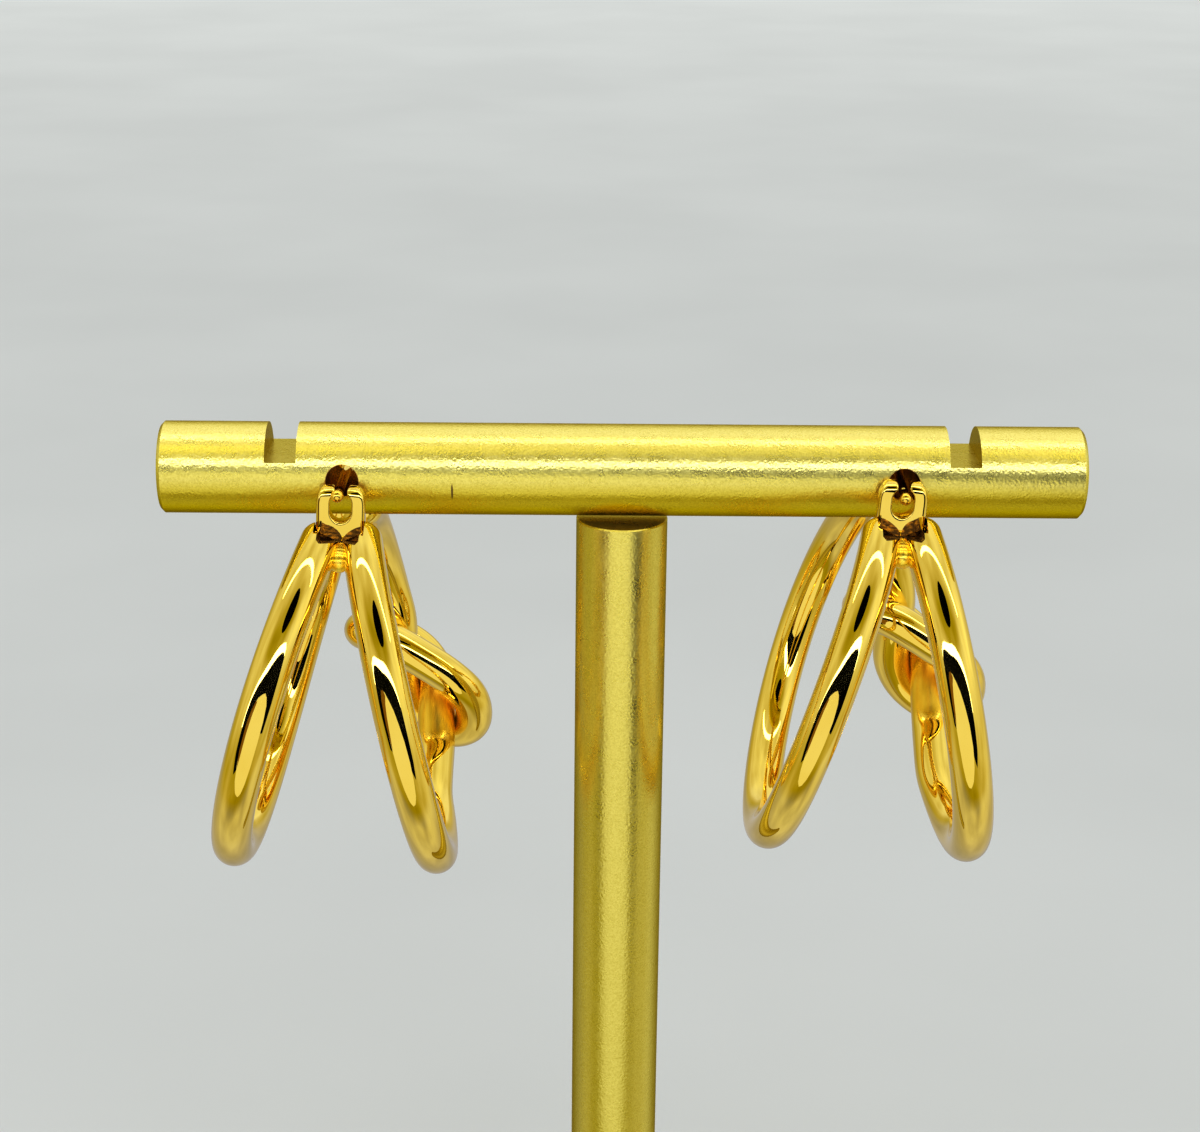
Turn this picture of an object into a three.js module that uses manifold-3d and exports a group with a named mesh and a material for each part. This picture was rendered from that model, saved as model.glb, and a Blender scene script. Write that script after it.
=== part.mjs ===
// A pair of double hoop earrings hanging from a small T-bar display stand.
// Millimetres, +Z up. The origin is the middle of the base's underside, X runs along the bar,
// and -Y is the front, where the catches of the earrings face.

import * as THREE from 'three';
import { mergeVertices } from 'three/addons/utils/BufferGeometryUtils.js';
import Module from 'manifold-3d';

const wasm = await Module();
wasm.setup();

// Stand
const BASE_RADIUS = 30;
const BASE_HEIGHT = 5;
const BASE_CHAMFER = 0.6;
const UPRIGHT_RADIUS = 4;
const BAR_AXIS_HEIGHT = 100;
const BAR_RADIUS = 4;
const BAR_LENGTH = 80;
const BAR_CHAMFER = 0.3;
const HOLE_RADIUS = 1.4; // cross holes that the ear posts pass through
const HOLE_OFFSET = 24.1; // along the bar, from its middle
const NOTCH_WIDTH = 2.7; // slots in the bar's top for ear hooks
const NOTCH_OFFSET = 29.4;
const NOTCH_FLOOR = 1.5; // above the bar's axis

const CLEARANCE = 0.3; // between pieces that rest on or turn in each other

// Double hoop: two round tubes that lean apart below the catch. An earring's own origin is on
// its post, in the middle of the bar, with -Y towards the catch.
const TUBE_RADIUS = 1.75;
const HOOP_RADIUS = 15.7; // to the tube's centre line
const HOOP_DROP = 18.95; // from the meeting line of the two planes to a hoop's centre
const HOOP_BACK = -0.5; // Y of a hoop's centre
const HOOP_LEAN = THREE.MathUtils.degToRad(14.1);
const HOOP_SPACING = 0.5; // half the distance between the planes at the meeting line
const FRONT_END = THREE.MathUtils.degToRad(-20.5); // angles from the top, towards the back
const BACK_END = THREE.MathUtils.degToRad(20.5);
const PLAIN_HOOP = { side: -1, twist: 0.048, bow: 0.66 };
const KNOTTED_HOOP = { side: 1, twist: -0.069, bow: 0 };

// Overhand knot in the back of the knotted hoop. The tube's centre line leaves the hoop at
// KNOT_ENTRY and comes back to it at KNOT_EXIT; in between, each row says how far it is
// across the hoop's plane, outwards from the hoop's centre, and up along the tube,
// all from the hoop's own line at KNOT_MIDDLE.
const KNOT_ENTRY = THREE.MathUtils.degToRad(77.5);
const KNOT_MIDDLE = THREE.MathUtils.degToRad(111.5);
const KNOT_EXIT = THREE.MathUtils.degToRad(154);
const KNOT_ROUTE = [
  { across: 0.1, out: -1.3, up: 6.4 }, // comes down behind the front band
  { across: -0.7, out: 0.4, up: 3.5 },
  { across: -1.4, out: 2.5, up: 0.6 },
  { across: -0.5, out: 4.2, up: -2.3 }, // turns behind the leaving tube
  { across: 1.9, out: 4.2, up: -4.6 },
  { across: 4.5, out: 2.1, up: -4.6 },
  { across: 5.2, out: -0.7, up: -2.3 }, // rises at the side
  { across: 3.8, out: -2.8, up: 0.0 },
  { across: 1.6, out: -3.8, up: 2.2 }, // crosses the front as a band
  { across: -1.0, out: -4.2, up: 4.5 },
  { across: -3.3, out: -2.4, up: 5.8 },
  { across: -3.3, out: 1.0, up: 6.2 }, // goes round behind the arriving tube
  { across: -1.1, out: 3.4, up: 5.4 },
  { across: 1.3, out: 3.8, up: 3.0 },
  { across: 2.1, out: 2.4, up: 0.0 }, // comes through the loop
  { across: 1.5, out: 0.9, up: -2.9 },
  { across: 1.0, out: 0.0, up: -6.0 },
  { across: 0.6, out: -2.0, up: -8.3 },
];

// Catch: a shield-shaped plate with a keyhole that the post's tip snaps into
const CATCH_HALF_WIDTH = 1.95;
const CATCH_FRONT = -5.9;
const CATCH_DEPTH = 1.4;
const CATCH_BEVEL = 0.25;
const CATCH_TOP = 0.6;
const CATCH_SHOULDER = -3.0;
const CATCH_POINT = -4.1;
const KEYHOLE_RADIUS = 1.0;
const KEYHOLE_HEIGHT = -1.35;
const SLOT_HALF_WIDTH = 0.58;
const POCKET_WIDTH = 0.4; // cut into the tubes' ends below the plate's two lower edges
const POCKET_FLOOR = -5.3;

// Solder neck that fills the fork of the tubes below the catch
const NECK_RADIUS = 0.95;
const NECK_END = THREE.MathUtils.degToRad(-31);

// Ear post, with the pivot eye and pin at its back end, and the fork that holds it
const POST_RADIUS = 0.4;
const POST_RISE = THREE.MathUtils.degToRad(3.5); // towards the back
const POST_HEIGHT = 0.05; // above the earring's origin
const POST_TIP = -6.3;
const GROOVE_RADIUS = 0.3;
const GROOVE_START = -5.7;
const GROOVE_END = -4.6;
const PIVOT_Y = 5.8;
const EYE_RADIUS = 0.85;
const EYE_HALF_WIDTH = 0.5;
const PIN_RADIUS = 0.4;
const FORK_RADIUS = 1.15;
const FORK_HALF_WIDTH = 1.6;
const FORK_FOOT = -5.0;

// How each earring hangs on the bar: its origin from the middle of the bar's axis, and its turns
const EARRINGS = [
  { name: 'left', x: -24.04, y: -0.1, z: -0.74, tip: -2.84, yaw: 0, roll: 2.04 },
  { name: 'right', x: 23.96, y: 0, z: 0.32, tip: 1.11, yaw: -0.48, roll: 3.67 },
];

const ROUND_SEGMENTS = 48;
const SMALL_SEGMENTS = 16;
const CATCH_ARC_SEGMENTS = 5;
const TUBE_SIDES = 12;
const HOOP_STEP = 2.4; // along a tube's centre line
const KNOT_STEP = 1.5;

const satinGold = new THREE.MeshStandardMaterial({ color: 0xd9c55f, metalness: 1, roughness: 0.42 });
const polishedGold = new THREE.MeshStandardMaterial({ color: 0xe6b422, metalness: 1, roughness: 0.08 });

// A closed three.js geometry as a solid for booleans
function solidOf(geometry) {
  const bare = geometry.clone();
  bare.deleteAttribute('normal');
  bare.deleteAttribute('uv');
  const merged = mergeVertices(bare, 1e-5);
  return new wasm.Manifold(new wasm.Mesh({
    numProp: 3,
    vertProperties: new Float32Array(merged.attributes.position.array),
    triVerts: new Uint32Array(merged.index.array),
  }));
}

// A solid back as a three.js geometry
function geometryOf(solid) {
  const mesh = solid.getMesh();
  const geometry = new THREE.BufferGeometry();
  geometry.setAttribute('position', new THREE.BufferAttribute(mesh.vertProperties, 3));
  geometry.setIndex(new THREE.BufferAttribute(mesh.triVerts, 1));
  geometry.computeVertexNormals();
  return geometry;
}

function namedMesh(name, geometry, material) {
  const mesh = new THREE.Mesh(geometry, material);
  mesh.name = name;
  return mesh;
}

// A turned solid about Y from [radius, position] points that start and end on the axis
function turned(points, segments = ROUND_SEGMENTS) {
  return new THREE.LatheGeometry(points.map(([radius, height]) => new THREE.Vector2(radius, height)), segments);
}

function rodAlongX(radius, halfLength) {
  return new THREE.CylinderGeometry(radius, radius, 2 * halfLength, SMALL_SEGMENTS).rotateZ(Math.PI / 2);
}

// A round bar swept along a smooth curve. A full arc takes two sides for each curve segment.
function sweptTube(curve, radius, stepLength) {
  const section = new THREE.Shape().absarc(0, 0, radius, 0, 2 * Math.PI);
  const steps = Math.ceil(curve.getLength() / stepLength);
  return new THREE.ExtrudeGeometry(section, { steps, extrudePath: curve, curveSegments: TUBE_SIDES / 2 });
}

function base() {
  return turned([
    [0, 0],
    [BASE_RADIUS - BASE_CHAMFER, 0],
    [BASE_RADIUS, BASE_CHAMFER],
    [BASE_RADIUS, BASE_HEIGHT - BASE_CHAMFER],
    [BASE_RADIUS - BASE_CHAMFER, BASE_HEIGHT],
    [0, BASE_HEIGHT],
  ]).rotateX(Math.PI / 2);
}

function upright() {
  const top = BAR_AXIS_HEIGHT - BAR_RADIUS - CLEARANCE;
  const height = top - BASE_HEIGHT;
  const rod = new THREE.CylinderGeometry(UPRIGHT_RADIUS, UPRIGHT_RADIUS, height, ROUND_SEGMENTS);
  return rod.rotateX(Math.PI / 2).translate(0, 0, BASE_HEIGHT + height / 2);
}

// The bar about its own centre, with the two cross holes and the two notches cut
function crossbar() {
  const half = BAR_LENGTH / 2;
  const rod = turned([
    [0, -half],
    [BAR_RADIUS - BAR_CHAMFER, -half],
    [BAR_RADIUS, BAR_CHAMFER - half],
    [BAR_RADIUS, half - BAR_CHAMFER],
    [BAR_RADIUS - BAR_CHAMFER, half],
    [0, half],
  ]).rotateZ(Math.PI / 2);
  let bar = solidOf(rod);
  const notchHeight = BAR_RADIUS;
  for (const side of [-1, 1]) {
    const hole = new THREE.CylinderGeometry(HOLE_RADIUS, HOLE_RADIUS, 4 * BAR_RADIUS, SMALL_SEGMENTS);
    const notch = new THREE.BoxGeometry(NOTCH_WIDTH, 4 * BAR_RADIUS, notchHeight);
    bar = bar.subtract(solidOf(hole.translate(side * HOLE_OFFSET, 0, 0)));
    bar = bar.subtract(solidOf(notch.translate(side * NOTCH_OFFSET, 0, NOTCH_FLOOR + notchHeight / 2)));
  }
  return geometryOf(bar);
}

// A point of a hoop's centre line, at an angle from the top towards the back
function hoopPoint(hoop, angle) {
  const drop = HOOP_DROP - HOOP_RADIUS * Math.cos(angle);
  const back = HOOP_RADIUS * Math.sin(angle);
  const lean = hoop.side * (HOOP_SPACING + drop * Math.sin(HOOP_LEAN));
  const bow = hoop.bow * (Math.cos(angle) ** 2 - 0.5);
  return new THREE.Vector3(lean + hoop.twist * back + bow, HOOP_BACK + back, -drop * Math.cos(HOOP_LEAN));
}

function hoopArc(hoop, from, to) {
  const steps = Math.ceil((HOOP_RADIUS * Math.abs(to - from)) / HOOP_STEP);
  return Array.from({ length: steps + 1 }, (_, i) => hoopPoint(hoop, from + ((to - from) * i) / steps));
}

// The knot's centre line, carried from its own axes into the earring's
function knotPoints() {
  const middle = hoopPoint(KNOTTED_HOOP, KNOT_MIDDLE);
  const step = 1e-3;
  const up = hoopPoint(KNOTTED_HOOP, KNOT_MIDDLE - step).sub(middle).normalize();
  const across = new THREE.Vector3(Math.cos(HOOP_LEAN), 0, Math.sin(HOOP_LEAN));
  const out = new THREE.Vector3().crossVectors(up, across);
  const axes = new THREE.Matrix4().makeBasis(across, out, up).setPosition(middle);
  return KNOT_ROUTE.map((row) => new THREE.Vector3(row.across, row.out, row.up).applyMatrix4(axes));
}

function smoothCurve(points) {
  return new THREE.CatmullRomCurve3(points, false, 'centripetal');
}

const endAngle = FRONT_END + 2 * Math.PI;

function plainHoopLine() {
  return smoothCurve(hoopArc(PLAIN_HOOP, BACK_END, endAngle));
}

function knottedHoopLine() {
  return smoothCurve([
    ...hoopArc(KNOTTED_HOOP, BACK_END, KNOT_ENTRY),
    ...knotPoints(),
    ...hoopArc(KNOTTED_HOOP, KNOT_EXIT, endAngle),
  ]);
}

// A tube along a hoop's line, with round ends
function hoopTube(curve, stepLength) {
  let tube = solidOf(sweptTube(curve, TUBE_RADIUS, stepLength));
  for (const end of [curve.getPoint(0), curve.getPoint(1)]) {
    const ball = new THREE.SphereGeometry(TUBE_RADIUS, TUBE_SIDES, TUBE_SIDES / 2);
    tube = tube.add(solidOf(ball.translate(end.x, end.y, end.z)));
  }
  return tube;
}

// The catch plate, upright in X and Z, with its face towards -Y
function catchPlate() {
  const edge = CATCH_HALF_WIDTH - CATCH_BEVEL;
  const slot = SLOT_HALF_WIDTH + CATCH_BEVEL;
  const prongRadius = (edge - slot) / 2;
  const prongX = (edge + slot) / 2;
  const prongHeight = CATCH_TOP - CATCH_BEVEL - prongRadius;
  const hole = KEYHOLE_RADIUS + CATCH_BEVEL;
  const mouth = Math.acos(slot / hole);
  const outline = new THREE.Shape();
  outline.moveTo(0, CATCH_POINT + CATCH_BEVEL);
  outline.lineTo(edge, CATCH_SHOULDER);
  outline.absarc(prongX, prongHeight, prongRadius, 0, Math.PI, false);
  outline.absarc(0, KEYHOLE_HEIGHT, hole, mouth, Math.PI - mouth, true);
  outline.absarc(-prongX, prongHeight, prongRadius, 0, Math.PI, false);
  outline.lineTo(-edge, CATCH_SHOULDER);
  outline.closePath();
  const plate = new THREE.ExtrudeGeometry(outline, {
    depth: CATCH_DEPTH - 2 * CATCH_BEVEL,
    bevelThickness: CATCH_BEVEL,
    bevelSize: CATCH_BEVEL,
    bevelSegments: 2,
    curveSegments: CATCH_ARC_SEGMENTS,
  });
  // The extrusion's own Z becomes -Y
  return plate.rotateX(Math.PI / 2).translate(0, CATCH_FRONT + CATCH_DEPTH - CATCH_BEVEL, 0);
}

// The hollow in front of the plate's lower edges, where the tubes' ends are cut back
function catchPocket() {
  const outline = new THREE.Shape();
  outline.moveTo(0, CATCH_POINT - POCKET_WIDTH);
  outline.lineTo(CATCH_HALF_WIDTH, CATCH_SHOULDER - POCKET_WIDTH);
  outline.lineTo(CATCH_HALF_WIDTH, 0);
  outline.lineTo(-CATCH_HALF_WIDTH, 0);
  outline.lineTo(-CATCH_HALF_WIDTH, CATCH_SHOULDER - POCKET_WIDTH);
  outline.closePath();
  const pocket = new THREE.ExtrudeGeometry(outline, { depth: 2 * TUBE_RADIUS, bevelEnabled: false });
  return pocket.rotateX(Math.PI / 2).translate(0, POCKET_FLOOR, 0);
}

// A short bar of solder between the two tubes, just below the catch
function solderNeck() {
  const steps = 5;
  const points = Array.from({ length: steps + 1 }, (_, i) => {
    const angle = FRONT_END + ((NECK_END - FRONT_END) * i) / steps;
    return hoopPoint(PLAIN_HOOP, angle).add(hoopPoint(KNOTTED_HOOP, angle)).multiplyScalar(0.5);
  });
  return sweptTube(smoothCurve(points), NECK_RADIUS, KNOT_STEP);
}

function pivotHeight() {
  return POST_HEIGHT + PIVOT_Y * Math.tan(POST_RISE);
}

// The fork on the hoops' back ends: two round-topped ears with a pin hole
function pivotFork() {
  const height = pivotHeight();
  const profile = new THREE.Shape();
  profile.moveTo(PIVOT_Y - FORK_RADIUS, FORK_FOOT);
  profile.lineTo(PIVOT_Y + FORK_RADIUS, FORK_FOOT);
  profile.absarc(PIVOT_Y, height, FORK_RADIUS, 0, Math.PI, false);
  profile.closePath();
  const block = new THREE.ExtrudeGeometry(profile, {
    depth: 2 * FORK_HALF_WIDTH,
    bevelEnabled: false,
    curveSegments: TUBE_SIDES / 2,
  });
  // The profile's X and Y become the earring's Y and Z
  block.rotateX(Math.PI / 2).rotateZ(Math.PI / 2).translate(-FORK_HALF_WIDTH, 0, 0);
  const gapBottom = height - EYE_RADIUS - CLEARANCE;
  const gapHeight = 2 * FORK_RADIUS + EYE_RADIUS;
  const gapWidth = 2 * (EYE_HALF_WIDTH + CLEARANCE);
  const gap = new THREE.BoxGeometry(gapWidth, 4 * FORK_RADIUS, gapHeight);
  gap.translate(0, PIVOT_Y, gapBottom + gapHeight / 2);
  const bore = rodAlongX(PIN_RADIUS + CLEARANCE, 2 * FORK_HALF_WIDTH);
  bore.translate(0, PIVOT_Y, height);
  return solidOf(block).subtract(solidOf(gap)).subtract(solidOf(bore));
}

// Both hoops, the neck, the catch and the fork, soldered into one
function doubleHoop() {
  const solid = hoopTube(plainHoopLine(), HOOP_STEP)
    .add(hoopTube(knottedHoopLine(), KNOT_STEP))
    .subtract(solidOf(catchPocket()))
    .add(solidOf(solderNeck()))
    .add(solidOf(catchPlate()))
    .add(pivotFork());
  return geometryOf(solid);
}

// The post with its eye and pin, one plain piece
function earPost() {
  const tipRound = 0.25;
  const back = PIVOT_Y;
  const wire = turned([
    [0, POST_TIP],
    [POST_RADIUS - tipRound / 2, POST_TIP + tipRound / 4],
    [POST_RADIUS, POST_TIP + tipRound],
    [POST_RADIUS, GROOVE_START - tipRound / 2],
    [GROOVE_RADIUS, GROOVE_START],
    [GROOVE_RADIUS, GROOVE_END],
    [POST_RADIUS, GROOVE_END + tipRound],
    [POST_RADIUS, back],
    [0, back],
  ], SMALL_SEGMENTS);
  wire.rotateX(POST_RISE).translate(0, 0, POST_HEIGHT);
  const eye = rodAlongX(EYE_RADIUS, EYE_HALF_WIDTH).translate(0, PIVOT_Y, pivotHeight());
  const pin = rodAlongX(PIN_RADIUS, FORK_HALF_WIDTH).translate(0, PIVOT_Y, pivotHeight());
  return geometryOf(solidOf(wire).add(solidOf(eye)).add(solidOf(pin)));
}

function earring(placement) {
  const group = new THREE.Group();
  group.add(namedMesh(`${placement.name}_double_hoop`, doubleHoop(), polishedGold));
  group.add(namedMesh(`${placement.name}_ear_post`, earPost(), polishedGold));
  const { degToRad } = THREE.MathUtils;
  group.rotation.set(degToRad(placement.tip), degToRad(placement.roll), degToRad(placement.yaw), 'ZXY');
  group.position.set(placement.x, placement.y, BAR_AXIS_HEIGHT + placement.z);
  return group;
}

function build() {
  const whole = new THREE.Group();
  whole.add(namedMesh('base', base(), satinGold));
  whole.add(namedMesh('upright', upright(), satinGold));
  const bar = namedMesh('crossbar', crossbar(), satinGold);
  bar.position.z = BAR_AXIS_HEIGHT;
  whole.add(bar);
  for (const placement of EARRINGS) {
    whole.add(earring(placement));
  }
  return whole;
}

const group = build();
export default group;
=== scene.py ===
"""A pair of polished gold double hoop earrings on a satin gold T-bar stand.

Metres, +Z up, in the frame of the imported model: the origin is the middle of the base's underside,
X runs along the bar, and -Y is the front, where the catches of the earrings face.
"""

import logging
import math
from collections.abc import Iterator, Sequence
from contextlib import contextmanager
from dataclasses import dataclass, field
from enum import Enum

import bmesh
import bpy
import numpy as np
from mathutils import Matrix, Vector


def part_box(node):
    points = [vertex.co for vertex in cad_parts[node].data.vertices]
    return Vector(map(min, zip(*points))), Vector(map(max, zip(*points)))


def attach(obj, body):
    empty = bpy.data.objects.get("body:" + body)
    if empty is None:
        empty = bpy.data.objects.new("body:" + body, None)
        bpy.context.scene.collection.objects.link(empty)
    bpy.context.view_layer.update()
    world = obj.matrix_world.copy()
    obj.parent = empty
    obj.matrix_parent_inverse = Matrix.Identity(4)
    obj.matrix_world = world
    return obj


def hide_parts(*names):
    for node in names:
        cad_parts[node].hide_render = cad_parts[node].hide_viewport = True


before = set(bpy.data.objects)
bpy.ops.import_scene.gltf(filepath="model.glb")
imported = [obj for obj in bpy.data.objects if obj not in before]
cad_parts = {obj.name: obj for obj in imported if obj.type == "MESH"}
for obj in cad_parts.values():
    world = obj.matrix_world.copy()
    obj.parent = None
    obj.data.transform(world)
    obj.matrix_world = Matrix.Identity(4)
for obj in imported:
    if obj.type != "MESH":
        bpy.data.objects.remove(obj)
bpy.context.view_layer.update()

MM = 0.001
ROOT_BODY = "root"
EARRINGS_MIDDLE = (0.0, -0.015, 0.085)
VIEW_GAMMA = 0.74
UNREACHED_AND_SHADE = "unreached_and_shade"  # mesh attribute: 1 on skin that no polishing buff reaches and where shade is painted
QUARTER = math.pi / 2
HOLE_OFFSET = 24.1 * MM  # of the bar's cross holes from its middle

Colour = tuple[float, float, float]
Place = tuple[float, float, float]
Pair = tuple[float, float]
Pairs = Sequence[Pair]
Tones = Sequence[tuple[float, Colour]]
Socket = bpy.types.NodeSocket
Piece = bpy.types.Object
Finish = bpy.types.Material

log = logging.getLogger("earrings")


# --- Solids -------------------------------------------------------------------------------------


class Cut(Enum):
    """The ways to combine two closed solids."""

    JOIN = "UNION"
    REMOVE = "DIFFERENCE"


@dataclass
class Solid:
    """A closed surface as plain points and faces, in metres.

    Attributes:
        points: One row of x, y, z for each corner.
        faces: Corner numbers of each face, anticlockwise from outside.
    """

    points: np.ndarray
    faces: list[tuple[int, ...]]

    def placed(self, matrix: Matrix) -> "Solid":
        """Gives a copy of the solid moved by a 4 by 4 matrix."""
        turn = np.array(matrix.to_3x3())
        return Solid(self.points @ turn.T + np.array(matrix.translation), self.faces)

    def as_object(self, name: str, finish: Finish | None = None) -> Piece:
        """Makes a Blender mesh object from the solid.

        Args:
            name: The object's name.
            finish: The material that its faces keep, also once they are joined to another solid.

        Returns:
            The new object, linked to the scene.
        """
        mesh = bpy.data.meshes.new(name)
        mesh.from_pydata([tuple(p) for p in self.points], [], self.faces)
        mesh.update()
        if finish:
            mesh.materials.append(finish)
        return in_scene(name, mesh)


def in_scene(name: str, data: bpy.types.ID) -> Piece:
    """Makes an object and links it to the scene.

    Args:
        name: The object's name.
        data: The mesh, light or camera that it shows.

    Returns:
        The new object.
    """
    made = bpy.data.objects.new(name, data)
    bpy.context.scene.collection.objects.link(made)
    return made


@contextmanager
def editing(piece: Piece) -> Iterator[bmesh.types.BMesh]:
    """Opens a piece's mesh for editing, and writes it back at the end.

    Args:
        piece: The object to edit.

    Yields:
        The open mesh.
    """
    work = bmesh.new()
    work.from_mesh(piece.data)
    yield work
    work.to_mesh(piece.data)
    work.free()


def moved(place: Place, *turns: tuple[str, float]) -> Matrix:
    """Gives the move to a place after turns about axes.

    Args:
        place: The place.
        *turns: An axis and degrees for each turn, of which the last one acts first.

    Returns:
        The 4 by 4 matrix.
    """
    matrix = Matrix.Translation(place)
    for axis, degrees in turns:
        matrix = matrix @ Matrix.Rotation(math.radians(degrees), 4, axis)
    return matrix


def use_modifier(piece: Piece, kind: str, **settings: object) -> None:
    """Adds a modifier to a piece and applies it.

    Args:
        piece: The object to change.
        kind: The modifier's type, such as "BEVEL".
        **settings: Values for the modifier's properties.
    """
    modifier = piece.modifiers.new(kind.lower(), kind)
    for key, value in settings.items():
        setattr(modifier, key, value)
    shaped = piece.evaluated_get(bpy.context.evaluated_depsgraph_get())
    mesh = bpy.data.meshes.new_from_object(shaped)
    piece.modifiers.remove(modifier)
    old = piece.data
    piece.data = mesh
    bpy.data.meshes.remove(old)


def bevel(piece: Piece, width: float, segments: int, degrees: float) -> None:
    """Rounds a piece's edges.

    Args:
        piece: The object to change.
        width: Width of the rounding, in metres.
        segments: Number of faces across it.
        degrees: The angle above which an edge is rounded.
    """
    limit = math.radians(degrees)
    use_modifier(piece, "BEVEL", width=width, segments=segments, limit_method="ANGLE", angle_limit=limit)


def combine(piece: Piece, other: Piece, cut: Cut) -> None:
    """Joins another solid to a piece, or cuts the piece with it, and deletes the other.

    Args:
        piece: The object that is kept.
        other: The object that is used up.
        cut: Whether the other is joined or removed.
    """
    use_modifier(
        piece, "BOOLEAN", operation=cut.value, object=other, solver="MANIFOLD", material_mode="TRANSFER"
    )
    mesh = other.data
    bpy.data.objects.remove(other)
    bpy.data.meshes.remove(mesh)


def drop_crumbs(piece: Piece) -> None:
    """Deletes the loose crumbs that cutting leaves beside a piece's main part.

    Args:
        piece: The object to clean.
    """
    with editing(piece) as work:
        waiting = set(work.verts)
        parts = []
        while waiting:
            part, rim = set(), [waiting.pop()]
            while rim:
                vertex = rim.pop()
                part.add(vertex)
                near = {edge.other_vert(vertex) for edge in vertex.link_edges} & waiting
                waiting -= near
                rim += near
            parts.append(part)
        main_part = max(parts, key=len)
        crumbs = [vertex for part in parts if part is not main_part for vertex in part]
        bmesh.ops.delete(work, geom=crumbs, context="VERTS")


def smooth_by_angle(piece: Piece, degrees: float, flat_way: Vector | None = None) -> None:
    """Shades a piece smooth, with its flat faces kept flat and a crease wherever faces turn sharply.

    Args:
        piece: The object to shade.
        degrees: The angle above which an edge stays sharp.
        flat_way: The way that a flat face looks, if its rim stays sharp at any angle.
    """
    limit = math.radians(degrees)
    straight = 0.9999
    with editing(piece) as work:
        for face in work.faces:
            face.smooth = True
        for edge in work.edges:
            edge.smooth = len(edge.link_faces) == 2 and edge.calc_face_angle(0) < limit
            if flat_way and edge.smooth:
                flat = [face.normal.dot(flat_way) > straight for face in edge.link_faces]
                edge.smooth = flat[0] == flat[1]
    use_modifier(piece, "WEIGHTED_NORMAL", keep_sharp=True, weight=90)


def ring_faces(count: int, rings: int, start: int = 0) -> list[tuple[int, ...]]:
    """Gives the faces between rings of corners that are numbered one ring after another.

    Args:
        count: Number of corners in a ring.
        rings: Number of rings.
        start: Number of the first corner.

    Returns:
        The corners of each face. The faces look outward where the rings run anticlockwise as seen from
        outside the first one.
    """
    last = start + (rings - 1) * count
    steps = [(near, i, (i + 1) % count) for near in range(start, last, count) for i in range(count)]
    return [(near + i, near + count + i, near + count + j, near + j) for near, i, j in steps]


def turned(profile: Pairs, sides: int) -> Solid:
    """Turns a profile about Z into a closed solid.

    Args:
        profile: Radius and height of each ring, from the bottom to the top, in metres.
        sides: Number of sides round the axis.

    Returns:
        The turned solid, with a flat fan at each end.
    """
    angle = np.linspace(0, 2 * np.pi, sides, endpoint=False)
    ring = np.column_stack([np.cos(angle), np.sin(angle)])
    rings = [np.column_stack([ring * radius, np.full(sides, height)]) for radius, height in profile]
    top = (len(profile) - 1) * sides
    bottom_cap, top_cap = tuple(reversed(range(sides))), tuple(range(top, top + sides))
    walls = [(a, d, c, b) for a, b, c, d in ring_faces(sides, len(profile))]
    return Solid(np.vstack(rings), [bottom_cap, *walls, top_cap])


def rod(radius: float, low: float, high: float, edge: float, sides: int) -> Solid:
    """Turns a round rod along Z with a chamfer at both ends.

    Args:
        radius: The rod's radius, in metres.
        low: Height of its lower end.
        high: Height of its upper end.
        edge: Width of the chamfers.
        sides: Number of sides round the axis.

    Returns:
        The rod.
    """
    inner = radius - edge
    return turned([(inner, low), (radius, low + edge), (radius, high - edge), (inner, high)], sides)


def stacked(rings: Sequence[np.ndarray]) -> Solid:
    """Joins rings of corners into a closed solid with a flat face on the first and the last.

    Args:
        rings: The corners of each ring, anticlockwise as seen from outside the first one.

    Returns:
        The solid.
    """
    count = len(rings[0])
    last = (len(rings) - 1) * count
    caps = [tuple(range(count)), tuple(range(last + count - 1, last - 1, -1))]
    return Solid(np.vstack(rings), caps + ring_faces(count, len(rings)))


def extruded(outline: Pairs, depth: float) -> Solid:
    """Extrudes an outline in X and Z, anticlockwise as seen from -Y, from Y = 0 to Y = depth in metres."""
    return stacked([np.array([(x, y, z) for x, z in outline]) for y in (0.0, depth)])


def rounded_plate(outline: np.ndarray, faces_at: Pair, front_rounds: np.ndarray, back_round: float) -> Solid:
    """Builds a flat plate in X and Z with rounded front and back edges.

    Args:
        outline: X and Z of each corner, anticlockwise as seen from -Y.
        faces_at: Y of the front and of the back face.
        front_rounds: Radius of the front edge at each corner.
        back_round: Radius of the back edge.

    Returns:
        The plate.
    """
    front, back = faces_at
    before = outline - np.roll(outline, 1, axis=0)
    after = np.roll(outline, -1, axis=0) - outline
    before /= np.linalg.norm(before, axis=1, keepdims=True)
    after /= np.linalg.norm(after, axis=1, keepdims=True)
    inwards = np.column_stack([-(before + after)[:, 1], (before + after)[:, 0]])
    inwards /= 1 + (before * after).sum(axis=1, keepdims=True)
    turns = np.linspace(0, QUARTER, num=7)
    back_rounds = np.full(len(outline), back_round)
    layers = [(front, 1, front_rounds, turn) for turn in turns[::-1]]
    layers += [(back, -1, back_rounds, turn) for turn in turns]
    rings = []
    for face, way, rounds, turn in layers:
        ring = outline + inwards * (rounds * (1 - math.cos(turn)))[:, None]
        rings.append(np.column_stack([ring[:, 0], face + way * rounds * (1 - math.sin(turn)), ring[:, 1]]))
    return stacked(rings)


def arc(centre: Pair, radius: float, start: float, end: float, steps: int) -> list[Pair]:
    """Gives points on a circular arc.

    Args:
        centre: The arc's centre.
        radius: The arc's radius.
        start: First angle, in radians.
        end: Last angle, in radians.
        steps: Number of straight steps.

    Returns:
        The points, from the first angle to the last.
    """
    angles = np.linspace(start, end, steps + 1)
    return [(centre[0] + radius * math.cos(a), centre[1] + radius * math.sin(a)) for a in angles]


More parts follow.
